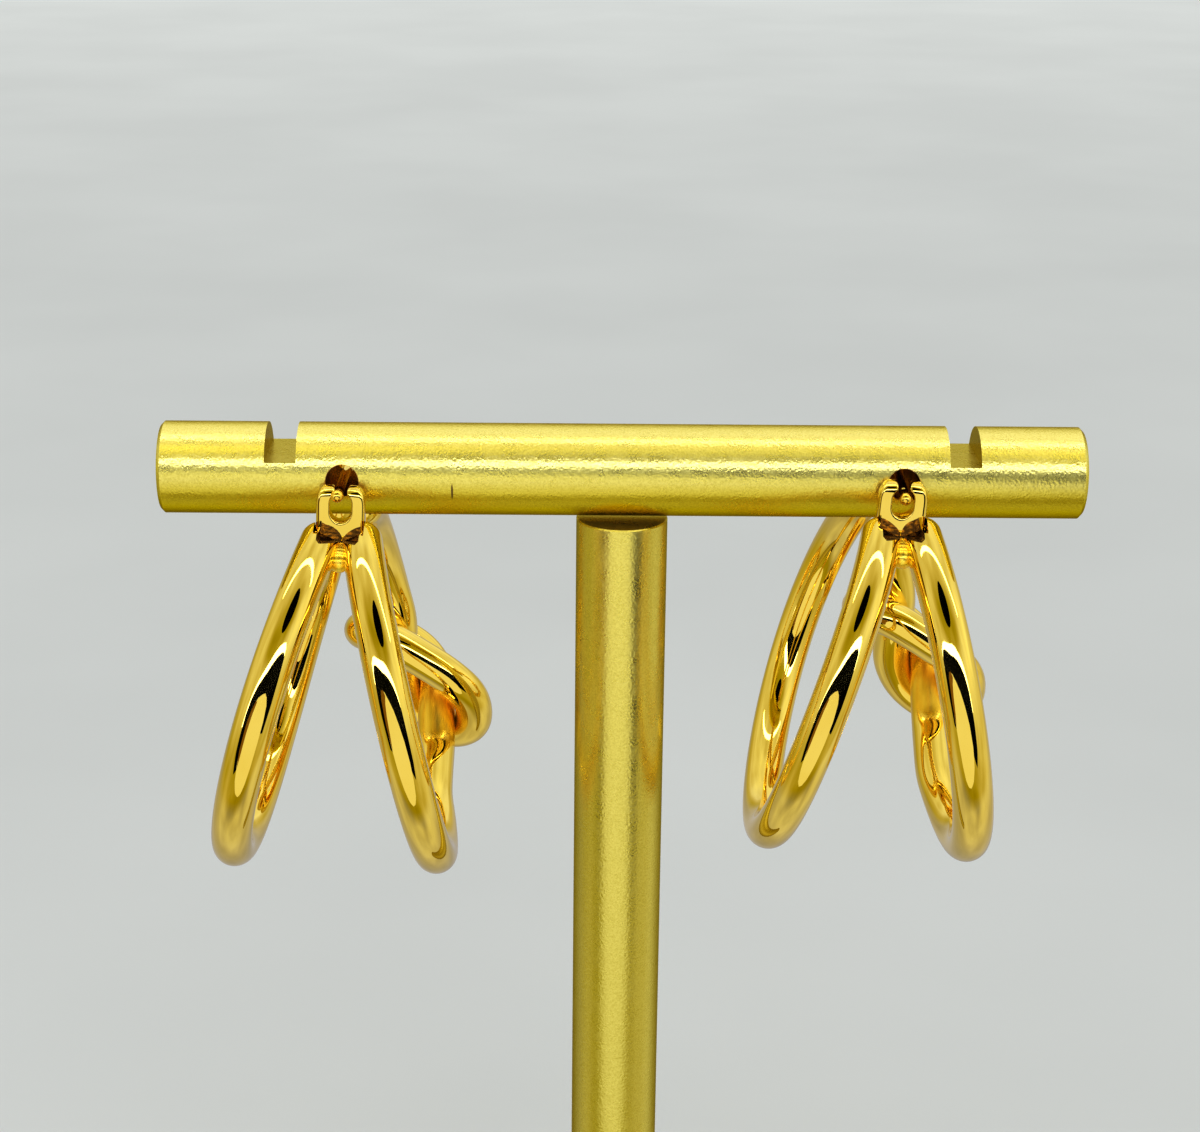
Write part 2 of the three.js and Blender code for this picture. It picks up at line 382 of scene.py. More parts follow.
def swept(line: np.ndarray, radii: np.ndarray, sides: int) -> Solid:
    """Sweeps a circle along a line, with a round cap at each end.

    Args:
        line: Points of the centre line, closely spaced.
        radii: The circle's radius at each point.
        sides: Number of sides round the line.

    Returns:
        The closed tube.
    """
    tangents = np.gradient(line, axis=0)
    tangents /= np.linalg.norm(tangents, axis=1, keepdims=True)
    turns = np.linspace(QUARTER, 0, sides // 4, endpoint=False)[1:]
    rings = [(line[0], tangents[0], radii[0], -turn) for turn in turns]
    rings += [(point, tangent, radius, 0.0) for point, tangent, radius in zip(line, tangents, radii)]
    rings += [(line[-1], tangents[-1], radii[-1], turn) for turn in turns[::-1]]
    angle = np.linspace(0, 2 * np.pi, sides, endpoint=False)
    across = np.cross(tangents[0], [0.0, 0.0, 1.0])
    points = []
    for point, tangent, radius, turn in rings:
        across = across - tangent * (across @ tangent)
        across /= np.linalg.norm(across)
        circle = np.outer(np.cos(angle), across) + np.outer(np.sin(angle), np.cross(tangent, across))
        points.append(point + tangent * radius * math.sin(turn) + radius * math.cos(turn) * circle)
    poles = [line[0] - tangents[0] * radii[0], line[-1] + tangents[-1] * radii[-1]]
    count = len(rings)
    faces: list[tuple[int, ...]] = []
    for i in range(sides):
        j = (i + 1) % sides
        faces.append((count * sides, j, i))
        faces.append((count * sides + 1, (count - 1) * sides + i, (count - 1) * sides + j))
        for k in range(count - 1):
            faces.append((k * sides + i, k * sides + j, (k + 1) * sides + j, (k + 1) * sides + i))
    return Solid(np.vstack([*points, *poles]), faces)


def smooth_line(points: np.ndarray, spacing: float, softness: float) -> np.ndarray:
    """Runs a smooth line through points and evens out its bends.

    Args:
        points: The points that the line passes close to.
        spacing: Distance between the points of the line that is returned.
        softness: Length over which the bends are evened out.

    Returns:
        Points of the line, evenly spaced.
    """
    shares, widths = 4, 3
    fine = catmull_rom(points, steps=40)
    length = np.concatenate([[0], np.cumsum(np.linalg.norm(np.diff(fine, axis=0), axis=1))])
    step = spacing / shares
    even = np.arange(0, length[-1], step)
    line = np.column_stack([np.interp(even, length, fine[:, k]) for k in range(3)])
    reach = int(widths * softness / step)
    weight = np.exp(-0.5 * (np.arange(-reach, reach + 1) * step / softness) ** 2)
    weight /= weight.sum()
    before = 2 * line[0] - line[reach:0:-1]
    after = 2 * line[-1] - line[-2:-reach - 2:-1]
    padded = np.vstack([before, line, after])
    soft = np.column_stack([np.convolve(padded[:, k], weight, mode="valid") for k in range(3)])
    return soft[::shares]


def catmull_rom(points: np.ndarray, steps: int) -> np.ndarray:
    """Gives a centripetal Catmull-Rom curve through points.

    Args:
        points: The points to pass through.
        steps: Number of steps between two neighbouring points.

    Returns:
        Points of the curve.
    """
    ends = np.vstack([2 * points[0] - points[1], points, 2 * points[-1] - points[-2]])
    curve = []
    for a, b, c, d in zip(ends, ends[1:], ends[2:], ends[3:]):
        knots = np.cumsum([0, *(np.sqrt(np.linalg.norm(q - p)) for p, q in ((a, b), (b, c), (c, d)))])
        for t in np.linspace(knots[1], knots[2], steps, endpoint=False):
            ab = a + (b - a) * (t - knots[0]) / (knots[1] - knots[0])
            bc = b + (c - b) * (t - knots[1]) / (knots[2] - knots[1])
            cd = c + (d - c) * (t - knots[2]) / (knots[3] - knots[2])
            abc = ab + (bc - ab) * (t - knots[0]) / (knots[2] - knots[0])
            bcd = bc + (cd - bc) * (t - knots[1]) / (knots[3] - knots[1])
            curve.append(abc + (bcd - abc) * (t - knots[1]) / (knots[2] - knots[1]))
    curve.append(points[-1])
    return np.array(curve)


# --- Finishes -----------------------------------------------------------------------------------


@dataclass
class NodeSheet:
    """A node tree of a material or world, with short ways to add and join nodes."""

    owner: bpy.types.Material | bpy.types.World
    output_kind: str = "OutputMaterial"
    output: bpy.types.Node = field(init=False)

    def __post_init__(self) -> None:
        """Empties the tree and adds its output node."""
        self.owner.use_nodes = True
        self.owner.node_tree.nodes.clear()
        self.output = self.add(self.output_kind)

    def add(self, kind: str, **values: object) -> bpy.types.Node:
        """Adds a node.

        Args:
            kind: The node's type, such as "Math".
            **values: Properties of the node, or sockets and constants for its inputs, with _ for a space.

        Returns:
            The new node.
        """
        node = self.owner.node_tree.nodes.new(f"ShaderNode{kind}")
        for key, value in values.items():
            socket = node.inputs.get(key.replace("_", " "))
            if socket is None:
                setattr(node, key, value)
            else:
                self.link(value, socket)
        return node

    def link(self, source: Socket | Colour | float, target: Socket) -> None:
        """Joins two sockets, or sets a constant on one.

        Args:
            source: The output socket, or a colour or number.
            target: The input socket.
        """
        if isinstance(source, Socket):
            self.owner.node_tree.links.new(source, target)
        else:
            target.default_value = (*source, 1.0) if isinstance(source, tuple) else source

    def ramp(self, source: Socket, stops: Tones) -> Socket:
        """Adds a colour ramp.

        Args:
            source: The value that drives the ramp.
            stops: Position and colour of each stop.

        Returns:
            The ramp's colour output.
        """
        node = self.add("ValToRGB")
        elements = node.color_ramp.elements
        while len(elements) < len(stops):
            elements.new(0.5)
        for element, (position, colour) in zip(elements, stops):
            element.position = position
            element.color = (*colour, 1.0)
        self.link(source, node.inputs["Fac"])
        return node.outputs["Color"]

    def fade(self, source: Socket, span: Pair, low: Colour, high: Colour) -> Socket:
        """Fades from one colour to another as a value runs through a span."""
        return self.ramp(source, tuple(zip(span, (low, high))))

    def noise(self, place: Socket, size: float, **settings: float) -> Socket:
        """Adds a noise.

        Args:
            place: The coordinates.
            size: Size of its patches, in the coordinates' unit.
            **settings: The node's other inputs by name.

        Returns:
            The noise's value.
        """
        return self.add("TexNoise", Vector=place, Scale=1 / size, **settings).outputs["Fac"]

    def axes(self, vector: Socket) -> bpy.types.bpy_prop_collection:
        """Splits a vector into the sockets "X", "Y" and "Z"."""
        return self.add("SeparateXYZ", Vector=vector).outputs

    def math(self, operation: str, *values: Socket | float) -> Socket:
        """Adds a sum on one or two values.

        Args:
            operation: The node's operation, such as "MULTIPLY".
            *values: A socket or a number for each input.

        Returns:
            The result.
        """
        node = self.add("Math", operation=operation)
        for socket, value in zip(node.inputs, values):
            self.link(value, socket)
        return node.outputs["Value"]

    def share(self, source: Socket, span: Pair, curve: str = "LINEAR") -> Socket:
        """Maps a span of values to 0 to 1.

        Args:
            source: The value.
            span: The values that become 0 and 1.
            curve: The way between the two, "LINEAR" or "SMOOTHSTEP".

        Returns:
            The mapped value.
        """
        settings = {"interpolation_type": curve, "From_Min": span[0], "From_Max": span[1]}
        return self.add("MapRange", Value=source, **settings).outputs["Result"]

    def mixed(self, fac: Socket, low: Socket | Colour, high: Socket | Colour) -> Socket:
        """Mixes two colours.

        Args:
            fac: 0 for the first colour, 1 for the second.
            low: The first colour.
            high: The second colour.

        Returns:
            The mixed colour.
        """
        node = self.add("Mix", data_type="RGBA", Factor=fac)
        self.link(low, node.inputs[6])
        self.link(high, node.inputs[7])
        return node.outputs[2]


class SurfaceSheet(NodeSheet):
    """The node tree of a solid material, with its coordinates and its shader in place."""

    def __init__(self, name: str, **values: object) -> None:
        """Makes the material.

        Args:
            name: The material's name.
            **values: Inputs of the shader by name.
        """
        super().__init__(bpy.data.materials.new(name))
        self.place = self.add("TexCoord").outputs["Object"]
        self.shader = self.add("BsdfPrincipled", **values)
        self.link(self.shader.outputs["BSDF"], self.output.inputs["Surface"])

    def bump(self, height: Socket, distance: float) -> None:
        """Gives the shader a fine relief, of a distance in metres where the height is 1."""
        node = self.add("Bump", Strength=1.0, Distance=distance, Height=height)
        self.link(node.outputs["Normal"], self.shader.inputs["Normal"])

    def finished(self, colour: Socket, roughness: Socket | float) -> Finish:
        """Puts a colour and a roughness on the shader.

        Args:
            colour: The base colour.
            roughness: The roughness.

        Returns:
            The finished material.
        """
        self.link(colour, self.shader.inputs["Base Color"])
        self.link(roughness, self.shader.inputs["Roughness"])
        return self.owner


def grey(value: float) -> Colour:
    """Gives a grey of one brightness."""
    return (value, value, value)


@dataclass(frozen=True)
class PolishedGold:
    """Mirror-polished yellow gold with faint marks and soft waves, duller where no buff reaches, with
    painted shade there in a deeper amber.
    """

    name: str = "gold_polish"
    colour: Colour = (0.98, 0.77, 0.19)
    deep_colour: Colour = (0.95, 0.73, 0.16)
    tone_size: float = 4 * MM
    tone_span: Pair = (0.35, 0.65)
    roughness: float = 0.035
    mark_roughness: float = 0.09
    mark_size: float = 0.12 * MM
    mark_span: Pair = (0.55, 0.8)
    # painted shade: a deeper amber on the marked skin in the knot's hollows and on the post's tip
    painted_shade_colour: Colour = (0.98, 0.68, 0.08)
    unreached_roughness: float = 0.32
    wave_size: float = 0.9 * MM
    wave_height: float = 0.0012 * MM

    def material(self) -> Finish:
        """Builds the material.

        Returns:
            The finished material.
        """
        sheet = SurfaceSheet(self.name, Metallic=1.0)
        unreached_and_shade = sheet.add("Attribute", attribute_name=UNREACHED_AND_SHADE).outputs["Fac"]
        tone = sheet.noise(sheet.place, self.tone_size, Detail=3.0)
        gold = sheet.fade(tone, self.tone_span, self.deep_colour, self.colour)
        marks = sheet.noise(sheet.place, self.mark_size, Detail=4.0, Roughness=0.7)
        shine = sheet.fade(marks, self.mark_span, grey(self.roughness), grey(self.mark_roughness))
        sheet.bump(sheet.noise(sheet.place, self.wave_size, Detail=1.0), self.wave_height)
        return sheet.finished(
            sheet.mixed(unreached_and_shade, gold, self.painted_shade_colour),
            sheet.mixed(unreached_and_shade, shine, grey(self.unreached_roughness)),
        )


@dataclass(frozen=True)
class RawGold:
    """Unpolished gold with runs or stains, which are deeper in colour and duller; in the recess copy the
    dark colours are painted shade.
    """

    name: str
    colour: Colour
    deep_colour: Colour
    tone_span: Pair
    roughness: float
    deep_roughness: float
    run_size: float
    run_detail: float
    run_height: float = 0.0
    shine_span: Pair = (0.3, 0.7)

    def material(self) -> Finish:
        """Builds the material.

        Returns:
            The finished material.
        """
        sheet = SurfaceSheet(self.name, Metallic=1.0)
        runs = sheet.noise(sheet.place, self.run_size, Detail=self.run_detail)
        if self.run_height:
            sheet.bump(runs, self.run_height)
        return sheet.finished(
            sheet.fade(runs, self.tone_span, self.deep_colour, self.colour),
            sheet.fade(runs, self.shine_span, grey(self.deep_roughness), grey(self.roughness)),
        )


SOLDER_GOLD = RawGold(
    "gold_solder", colour=(1.0, 0.80, 0.12), deep_colour=(1.0, 0.66, 0.06), tone_span=(0.35, 0.6),
    roughness=0.25, deep_roughness=0.37, run_size=0.6 * MM, run_detail=1.0, run_height=0.007 * MM,
)
# painted shade: near-black brown for the hollow in front of the shield
RECESS_SHADE_GOLD = RawGold(
    "gold_recess_shade", colour=(0.60, 0.30, 0.03), deep_colour=(0.10, 0.04, 0.008), tone_span=(0.45, 0.7),
    roughness=0.32, deep_roughness=0.52, run_size=0.5 * MM, run_detail=2.0,
)


@dataclass(frozen=True)
class SatinGold:
    """Bead-blasted aluminium, anodised in a light gold, with painted light that makes it paler where it
    faces up and deeper yellow where it faces down, and painted shade in its cross holes.
    """

    name: str = "gold_satin"
    colour: Colour = (0.93, 0.83, 0.34)
    dull_colour: Colour = (0.80, 0.70, 0.24)
    grain_size: float = 0.15 * MM
    grain_span: Pair = (0.3, 0.6)
    # painted light: paler towards faces that look up, deeper yellow towards faces that look down
    painted_light_tints: Tones = (
        (0.05, (0.82, 0.73, 0.04)),
        (0.30, (0.88, 0.81, 0.14)),
        (0.50, (0.91, 0.895, 0.60)),
        (0.60, (0.98, 0.975, 0.60)),
        (0.85, (0.98, 0.98, 0.90)),
    )
    edge_tint: Colour = (0.50, 0.42, 0.20)
    # painted shade inside the two cross holes
    hole_painted_shade: Colour = (0.50, 0.27, 0.07)
    hole_offset: float = HOLE_OFFSET
    hole_height: float = 100 * MM
    hole_rim: Pair = (1.48 * MM, 1.40 * MM)
    scratch_colour: Colour = (0.22, 0.15, 0.04)
    scratch_place: Pair = (-14.69 * MM, 99.1 * MM)
    scratch_reach: Pair = (0.11 * MM, 0.85 * MM)
    scratch_rim: Pair = (1.0, 0.4)
    roughness: float = 0.25
    dull_roughness: float = 0.31
    blotch_size: float = 1.4 * MM
    blotch_span: Pair = (0.3, 0.7)
    dimple_size: float = 0.21 * MM
    dimple_height: float = 0.018 * MM

    def in_hole(self, sheet: SurfaceSheet) -> Socket:
        """Finds the inside of the bar's two cross holes, where shade is painted.

        Args:
            sheet: The material's node tree.

        Returns:
            1 inside a hole and 0 elsewhere.
        """
        axes = sheet.axes(sheet.place)
        across = sheet.math("SUBTRACT", sheet.math("ABSOLUTE", axes["X"]), self.hole_offset)
        above = sheet.math("SUBTRACT", axes["Z"], self.hole_height)
        squares = [sheet.math("POWER", offset, 2.0) for offset in (across, above)]
        return sheet.share(sheet.math("SQRT", sheet.math("ADD", *squares)), self.hole_rim)

    def in_scratch(self, sheet: SurfaceSheet) -> Socket:
        """Finds the short upright scratch on the front of the bar.

        Args:
            sheet: The material's node tree.

        Returns:
            1 on the scratch and 0 elsewhere.
        """
        axes = sheet.axes(sheet.place)
        squares = []
        for axis, middle, reach in zip("XZ", self.scratch_place, self.scratch_reach):
            offset = sheet.math("DIVIDE", sheet.math("SUBTRACT", axes[axis], middle), reach)
            squares.append(sheet.math("POWER", sheet.math("ABSOLUTE", offset), 2.0))
        mark = sheet.share(sheet.math("ADD", *squares), self.scratch_rim)
        return sheet.math("MULTIPLY", mark, sheet.math("LESS_THAN", axes["Y"], 0.0))

    def material(self) -> Finish:
        """Builds the material.

        Returns:
            The finished material.
        """
        sheet = SurfaceSheet(self.name, Metallic=1.0, Specular_Tint=self.edge_tint)
        grain = sheet.noise(sheet.place, self.grain_size, Detail=1.5, Roughness=0.6)
        facing = sheet.axes(sheet.add("TexCoord").outputs["Normal"])["Z"]
        grain_and_painted_light = sheet.add("VectorMath", operation="MULTIPLY")
        sheet.link(sheet.fade(grain, self.grain_span, self.dull_colour, self.colour), grain_and_painted_light.inputs[0])
        # painted light by the way the face looks, on top of the grain
        sheet.link(sheet.ramp(sheet.share(facing, (-1.0, 1.0)), self.painted_light_tints), grain_and_painted_light.inputs[1])
        gold = sheet.mixed(self.in_scratch(sheet), grain_and_painted_light.outputs["Vector"], self.scratch_colour)
        blotch = sheet.noise(sheet.place, self.blotch_size, Detail=2.0)
        dimples = sheet.add(
            "TexVoronoi", feature="SMOOTH_F1", Vector=sheet.place, Scale=1 / self.dimple_size
        )
        sheet.bump(dimples.outputs["Distance"], self.dimple_height)
        # painted shade in the holes
        return sheet.finished(
            sheet.mixed(self.in_hole(sheet), gold, self.hole_painted_shade),
            sheet.fade(blotch, self.blotch_span, grey(self.roughness), grey(self.dull_roughness)),
        )


def lit_apart(slot: str) -> bpy.types.Collection:
    """Gives the group of the pieces of one material slot, for the lamps that shine on them alone."""
    return bpy.data.collections.get(slot) or bpy.data.collections.new(slot)


def put_in_place(piece: Piece, slot: str, node: str) -> None:
    """Puts a finished piece in the place of its CAD node.

    Args:
        piece: The finished mesh.
        slot: The record's material slot.
        node: The CAD node that it replaces.
    """
    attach(piece, ROOT_BODY)
    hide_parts(node)
    lit_apart(slot).objects.link(piece)
    log.info("%s: %d faces", piece.name, len(piece.data.polygons))


# --- Stand --------------------------------------------------------------------------------------


@dataclass
class Stand:
    """The display stand: a round base, an upright rod and the crossbar."""

    material: Finish
    slot: str = "satin_gold"
    edge: float = 0.12 * MM
    chamfer: float = 0.3 * MM
    base_chamfer: float = 0.6 * MM
    hole_radius: float = 1.4 * MM
    hole_offset: float = HOLE_OFFSET
    notch_width: float = 2.7 * MM
    notch_offset: float = 29.4 * MM
    notch_floor: float = 1.5 * MM
    sides: int = 160

    def build(self) -> None:
        """Builds the three pieces of the stand."""
        self.build_base()
        self.build_upright()
        self.build_crossbar()

    def build_base(self) -> None:
        """Builds the base disc with its chamfered rims."""
        low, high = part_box("base")
        disc = rod((high.x - low.x) / 2, low.z, high.z, self.base_chamfer, self.sides)
        piece = disc.as_object("stand_base", self.material)
        piece.visible_glossy = False
        bevel(piece, self.edge, segments=2, degrees=30)
        smooth_by_angle(piece, degrees=30)
        put_in_place(piece, self.slot, "base")

    def build_upright(self) -> None:
        """Builds the rod, from the base to just under the crossbar."""
        low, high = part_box("upright")
        radius = (high.x - low.x) / 2
        profile = [(radius, low.z), (radius, high.z - self.edge), (radius - self.edge, high.z)]
        piece = turned(profile, self.sides).as_object("stand_upright", self.material)
        smooth_by_angle(piece, degrees=30)
        put_in_place(piece, self.slot, "upright")

    def build_crossbar(self) -> None:
        """Builds the bar with its cross holes and hook notches."""
        low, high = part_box("crossbar")
        half = (high.x - low.x) / 2
        radius = (high.z - low.z) / 2
        axis = (high.z + low.z) / 2
        bar = rod(radius, -half, half, self.chamfer, self.sides).placed(moved((0, 0, axis), ("Y", 90)))
        piece = bar.as_object("stand_crossbar", self.material)
        through = 4 * radius
        drill = turned([(self.hole_radius, -through / 2), (self.hole_radius, through / 2)], self.sides // 2)
        width = self.notch_width / 2
        mill = extruded([(-width, 0), (width, 0), (width, radius), (-width, radius)], through)
        for side in (-1, 1):
            place = moved((side * self.hole_offset, 0, axis), ("X", 90))
            combine(piece, drill.placed(place).as_object("drill", self.material), Cut.REMOVE)
            place = moved((side * self.notch_offset, -through / 2, axis + self.notch_floor))
            combine(piece, mill.placed(place).as_object("mill", self.material), Cut.REMOVE)
        bevel(piece, self.edge, segments=3, degrees=38)
        smooth_by_angle(piece, degrees=35)
        put_in_place(piece, self.slot, "crossbar")


# --- Earrings -----------------------------------------------------------------------------------


@dataclass(frozen=True)
class Hoop:
    """One round hoop.

    Attributes:
        side: The way it leans, -1 or 1.
        twist: How far its plane turns aside, per length towards the back.
        bow: How far its plane bows aside between its ends and its sides, in mm.
    """

    side: int
    twist: float = 0.0
    bow: float = 0.0


@dataclass(frozen=True)
class Hanging:
    """How an earring hangs: its origin from the middle of the bar's axis in mm, and its turns in degrees.

    The post rises towards its pivot behind the bar, and turns a little sideways about it.
    """

    name: str
    place: Place
    tip: float
    yaw: float
    roll: float
    post_rise: float
    post_yaw: float

    def matrix(self, axis_height: float) -> Matrix:
        """Gives the move from the earring's own frame to the stand's.

        Args:
            axis_height: Height of the bar's axis, in metres.

        Returns:
            The 4 by 4 matrix.
        """
        x, y, z = (value * MM for value in self.place)
        return moved((x, y, axis_height + z), ("Z", self.yaw), ("X", self.tip), ("Y", self.roll))


@dataclass
class Catch:
    """The front catch: a shield with a keyhole and two prongs that curve over. In mm and degrees."""

    half_width: float = 2.08
    front: float = -5.9
    depth: float = 1.4
    side_round: float = 0.34
    foot_round: float = 0.08
    tip_round: float = 0.2
    hole_round: float = 0.13
    hole_foot_round: float = 0.30
    back_round: float = 0.12
    top: float = 0.42
    top_round: float = 0.9
    top_limit: float = 0.995
    top_steps: int = 14
    corner_width: float = 0.85
    corner_height: float = 1.5
    shoulder: float = -3.45
    shoulder_rise: float = 0.2
    point: float = -4.5
    foot_curve: float = 0.85
    foot_share: float = 0.92
    foot_steps: int = 12
    hole_radius: float = 0.93
    hole_foot: float = -1.62
    hole_head: float = -0.9
    tip_x: float = 0.82
    tip_radius: float = 0.3
    tip_turn: float = 198.0
    tip_share: float = 0.95
    pocket_outline: Pairs = ((1.5, 0.22), (1.78, 0.5), (1.78, 1.0))
    relief_outline: Pairs = ((2.12, 0.95), (2.12, 4.5))
    pocket_floor: float = -5.3
    pocket_depth: float = 3.8
    pocket_tilt: float = 10.0
    arc_steps: int = 20

    def half_outline(self) -> list[tuple[float, ...]]:
        """Gives the right half of the shield's outline, from the point up and round to the keyhole's foot.

        Returns:
            X and Z of each corner, and the rounding of the front edge there.
        """
        steps = self.arc_steps
        drop = self.shoulder - self.point
        foot = [
            (self.half_width * t, self.point + drop * t**self.foot_curve)
            for t in np.linspace(0, self.foot_share, self.foot_steps)
        ]
        side = [(self.half_width, self.shoulder + self.shoulder_rise)]
        side += [
            (self.half_width - self.corner_width * (1 - x), self.top - self.corner_height * (1 - z))
            for x, z in arc((0, 0), 1.0, 0, QUARTER, steps)
        ]
        middle = (self.tip_x, self.top - self.tip_radius)
        tip = arc(middle, self.tip_radius, QUARTER, math.radians(self.tip_turn), steps)
        head = math.acos((self.tip_x - self.tip_radius * self.tip_share) / self.hole_radius)
        hole = arc((0, self.hole_head), self.hole_radius, head, 0, steps)
        stretches = (
            (foot, self.foot_round), (side, self.side_round), (tip, self.tip_round), (hole, self.hole_round)
        )
        corners = [(x, z, rounding) for points, rounding in stretches for x, z in points]
        extra = self.hole_foot_round - self.hole_round
        for x, z in arc((0, self.hole_foot), self.hole_radius, 0, -QUARTER, steps):
            below = (self.hole_foot - z) / self.hole_radius
            corners.append((x, z, self.hole_round + extra * below**2))
        return corners

    def plate(self, finish: Finish) -> Piece:
        """Builds the shield with rounded edges and prong tops that curve back.

        Args:
            finish: The material that it wears.

        Returns:
            The shield in the earring's own frame.
        """
        right = self.half_outline()
        left = [(-x, z, rounding) for x, z, rounding in reversed(right[1:-1])]
        corners = np.array([*right, *left])
        back = self.front + self.depth
        solid = rounded_plate(corners[:, :2], (self.front, back), corners[:, 2], self.back_round)
        piece = Solid(solid.points * MM, solid.faces).as_object("catch", finish)
        start = self.top - self.top_round
        with editing(piece) as work:
            for height in np.linspace(start, self.top, self.top_steps, endpoint=False):
                parts = [*work.verts, *work.edges, *work.faces]
                place = (0, 0, height * MM)
                bmesh.ops.bisect_plane(work, geom=parts, plane_co=place, plane_no=(0, 0, 1), dist=1e-7)
            for vertex in work.verts:
                rise = min(max(vertex.co.z / MM - start, 0), self.top_round * self.top_limit)
                push = self.top_round - math.sqrt(self.top_round**2 - rise**2)
                share = (back - vertex.co.y / MM) / self.depth
                vertex.co.y += push * share * MM
            bmesh.ops.triangulate(work, faces=[face for face in work.faces if len(face.verts) > 4])
        return piece

    def hollow(self, half: Pairs, finish: Finish) -> Piece:
        """Builds a hollow that is cut into the tubes' ends in front of the shield.

        Args:
            half: X and Z of the right half's corners, from the bottom up, with the shield's point at Z 0.
            finish: The material of the hollow's faces.

        Returns:
            The hollow as a solid, in the earring's own frame.
        """
        outline = [*half, *((-x, z) for x, z in reversed(half))]
        scaled = [(x * MM, z * MM) for x, z in outline]
        depth = self.pocket_depth * MM
        mouth = moved((0, self.pocket_floor * MM, self.point * MM), ("X", -self.pocket_tilt))
        return extruded(scaled, depth).placed(mouth @ moved((0, -depth, 0))).as_object("hollow", finish)


@dataclass
class Pivot:
    """The post's pivot behind the bar: a fork, and the eye and pin in it. In mm and degrees."""

    finish: Finish
    post_rise: float
    post_yaw: float
    y: float = 5.8
    height: float = 0.405
    clearance: float = 0.3
    rod_edge: float = 0.08
    eye_radius: float = 0.85
    eye_half_width: float = 0.5
    pin_radius: float = 0.4
    fork_radius: float = 1.15
    fork_half_width: float = 1.6
    fork_foot: float = -5.0
    fork_edge: float = 0.12
    fork_steps: int = 32
    post_radius: float = 0.4
    post_tip: float = -6.3
    ball_radius: float = 0.56
    ball_start: float = 0.08
    ball_steps: int = 20
    groove_radius: float = 0.3
    groove_start: float = -4.9
    groove_end: float = -4.4
    groove_step: float = 0.1
    groove_ease: float = 0.02
    sides: int = 48

    def across(self, radius: float, half_length: float, name: str) -> Piece:
        """Builds a rod across the pivot, along X.

        Args:
            radius: The rod's radius, in mm.
            half_length: Half of its length, in mm.
            name: The object's name.

        Returns:
            The rod.
        """
        solid = rod(radius * MM, -half_length * MM, half_length * MM, self.rod_edge * MM, self.sides)
        place = moved((0, self.y * MM, self.height * MM), ("Y", 90))
        return solid.placed(place).as_object(name, self.finish)

    def fork(self) -> Piece:
        """Builds the fork with its slot and pin hole.

        Returns:
            The fork in the earring's own frame.
        """
        outline = [(self.fork_radius, self.fork_foot)]
        outline += arc((0, self.height), self.fork_radius, 0, math.pi, self.fork_steps)
        outline += [(-self.fork_radius, self.fork_foot)]
        scaled = [(x * MM, z * MM) for x, z in outline]
        width = 2 * self.fork_half_width * MM
        place = moved((width / 2, self.y * MM, 0), ("Z", 90))
        piece = extruded(scaled, width).placed(place).as_object("fork", self.finish)
        gap = (self.eye_half_width + self.clearance) * MM
        bottom = (self.height - self.eye_radius - self.clearance) * MM
        top = (self.height + 2 * self.fork_radius) * MM
        depth = 4 * self.fork_radius * MM
        slot = [(-gap, bottom), (gap, bottom), (gap, top), (-gap, top)]
        mill = extruded(slot, depth).placed(moved((0, self.y * MM - depth / 2, 0)))
        combine(piece, mill.as_object("mill", self.finish), Cut.REMOVE)
        bore = self.across(self.pin_radius + self.clearance, 2 * self.fork_half_width, "bore")
        combine(piece, bore, Cut.REMOVE)
        bevel(piece, self.fork_edge * MM, segments=3, degrees=40)
        return piece

    def post(self, name: str) -> Piece:
        """Builds the ear post with its tip, groove, eye and pin.

        Args:
            name: The object's name.

        Returns:
            The post in the earring's own frame.
        """
        radius = self.post_radius
        ball = self.ball_radius
        meet = math.pi - math.asin(radius / ball)
        tip = [
            (ball * math.sin(a), self.post_tip + ball * (1 - math.cos(a)))
            for a in np.linspace(self.ball_start, meet, self.ball_steps)
        ]
        bottom, ease = self.groove_radius, self.groove_ease
        slope = [(radius, 2), (radius - ease, 1), (bottom + ease, 0), (bottom, -1)]
        groove = [(r, self.groove_start - self.groove_step * k) for r, k in slope]
        groove += [(r, self.groove_end + self.groove_step * k) for r, k in slope[::-1]]
        profile = [(r * MM, (h - self.y) * MM) for r, h in [*tip, *groove, (radius, self.y)]]
        middle = (0, self.y * MM, self.height * MM)
        place = moved(middle, ("Z", self.post_yaw), ("X", self.post_rise), ("X", -90))
        piece = turned(profile, self.sides).placed(place).as_object(name, self.finish)
        combine(piece, self.across(self.eye_radius, self.eye_half_width, "eye"), Cut.JOIN)
        combine(piece, self.across(self.pin_radius, self.fork_half_width, "pin"), Cut.JOIN)
        return piece


def vertex_rows(piece: Piece, name: str) -> np.ndarray:
    """Reads one vector of every vertex of a piece.

    Args:
        piece: The object to read.
        name: Which vector to read, "co" or "normal".

    Returns:
        The vectors, a row each.
    """
    values = np.empty(3 * len(piece.data.vertices))
    piece.data.vertices.foreach_get(name, values)
    return values.reshape(-1, 3)


def within(values: np.ndarray, span: Pair) -> np.ndarray:
    """Gives how far each value has run from the span's start to its end, from 0 to 1."""
    return np.clip((values - span[0]) / (span[1] - span[0]), 0, 1)


def mark(piece: Piece, share: np.ndarray) -> None:
    """Writes on each vertex of a piece how little polish it gets and how much shade is painted on it, from 0
    to 1.
    """
    piece.data.attributes.new(UNREACHED_AND_SHADE, "FLOAT", "POINT").data.foreach_set("value", share)


